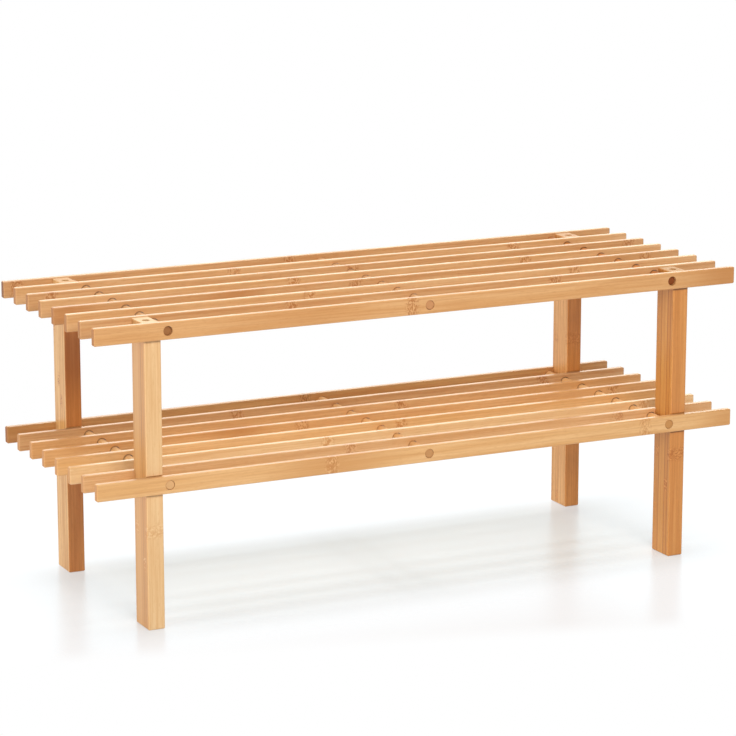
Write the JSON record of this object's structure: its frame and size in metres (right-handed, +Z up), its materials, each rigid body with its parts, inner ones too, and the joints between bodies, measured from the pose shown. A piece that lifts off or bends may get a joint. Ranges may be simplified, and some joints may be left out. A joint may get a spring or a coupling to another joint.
{
  "type": "slatted bench",
  "caption": "Low slatted bamboo bench with a lower shelf: boards on edge threaded on round rods and housed in straight legs that have peg holes at both ends for stacking.",
  "frame": {"origin": "on the floor, under the middle of the bench", "axes": "+X along the slats to the right, +Y to the rear, +Z up; the front faces -Y"},
  "size_m": [0.74, 0.273, 0.318],
  "materials": {
    "bamboo_slat": "satin lacquer",
    "bamboo_leg": "satin lacquer",
    "bamboo_rod": "satin lacquer"
  },
  "bodies": {
    "root": {"upper_slat_1": "bamboo_slat", "upper_slat_2": "bamboo_slat", "upper_slat_3": "bamboo_slat", "upper_slat_4": "bamboo_slat", "upper_slat_5": "bamboo_slat", "upper_slat_6": "bamboo_slat", "upper_slat_7": "bamboo_slat", "upper_slat_8": "bamboo_slat", "upper_left_rod": "bamboo_rod", "upper_middle_rod": "bamboo_rod", "upper_right_rod": "bamboo_rod", "lower_slat_1": "bamboo_slat", "lower_slat_2": "bamboo_slat", "lower_slat_3": "bamboo_slat", "lower_slat_4": "bamboo_slat", "lower_slat_5": "bamboo_slat", "lower_slat_6": "bamboo_slat", "lower_slat_7": "bamboo_slat", "lower_slat_8": "bamboo_slat", "lower_left_rod": "bamboo_rod", "lower_middle_rod": "bamboo_rod", "lower_right_rod": "bamboo_rod", "front_left_leg": "bamboo_leg", "front_right_leg": "bamboo_leg", "rear_left_leg": "bamboo_leg", "rear_right_leg": "bamboo_leg"}
  },
  "joints": []
}
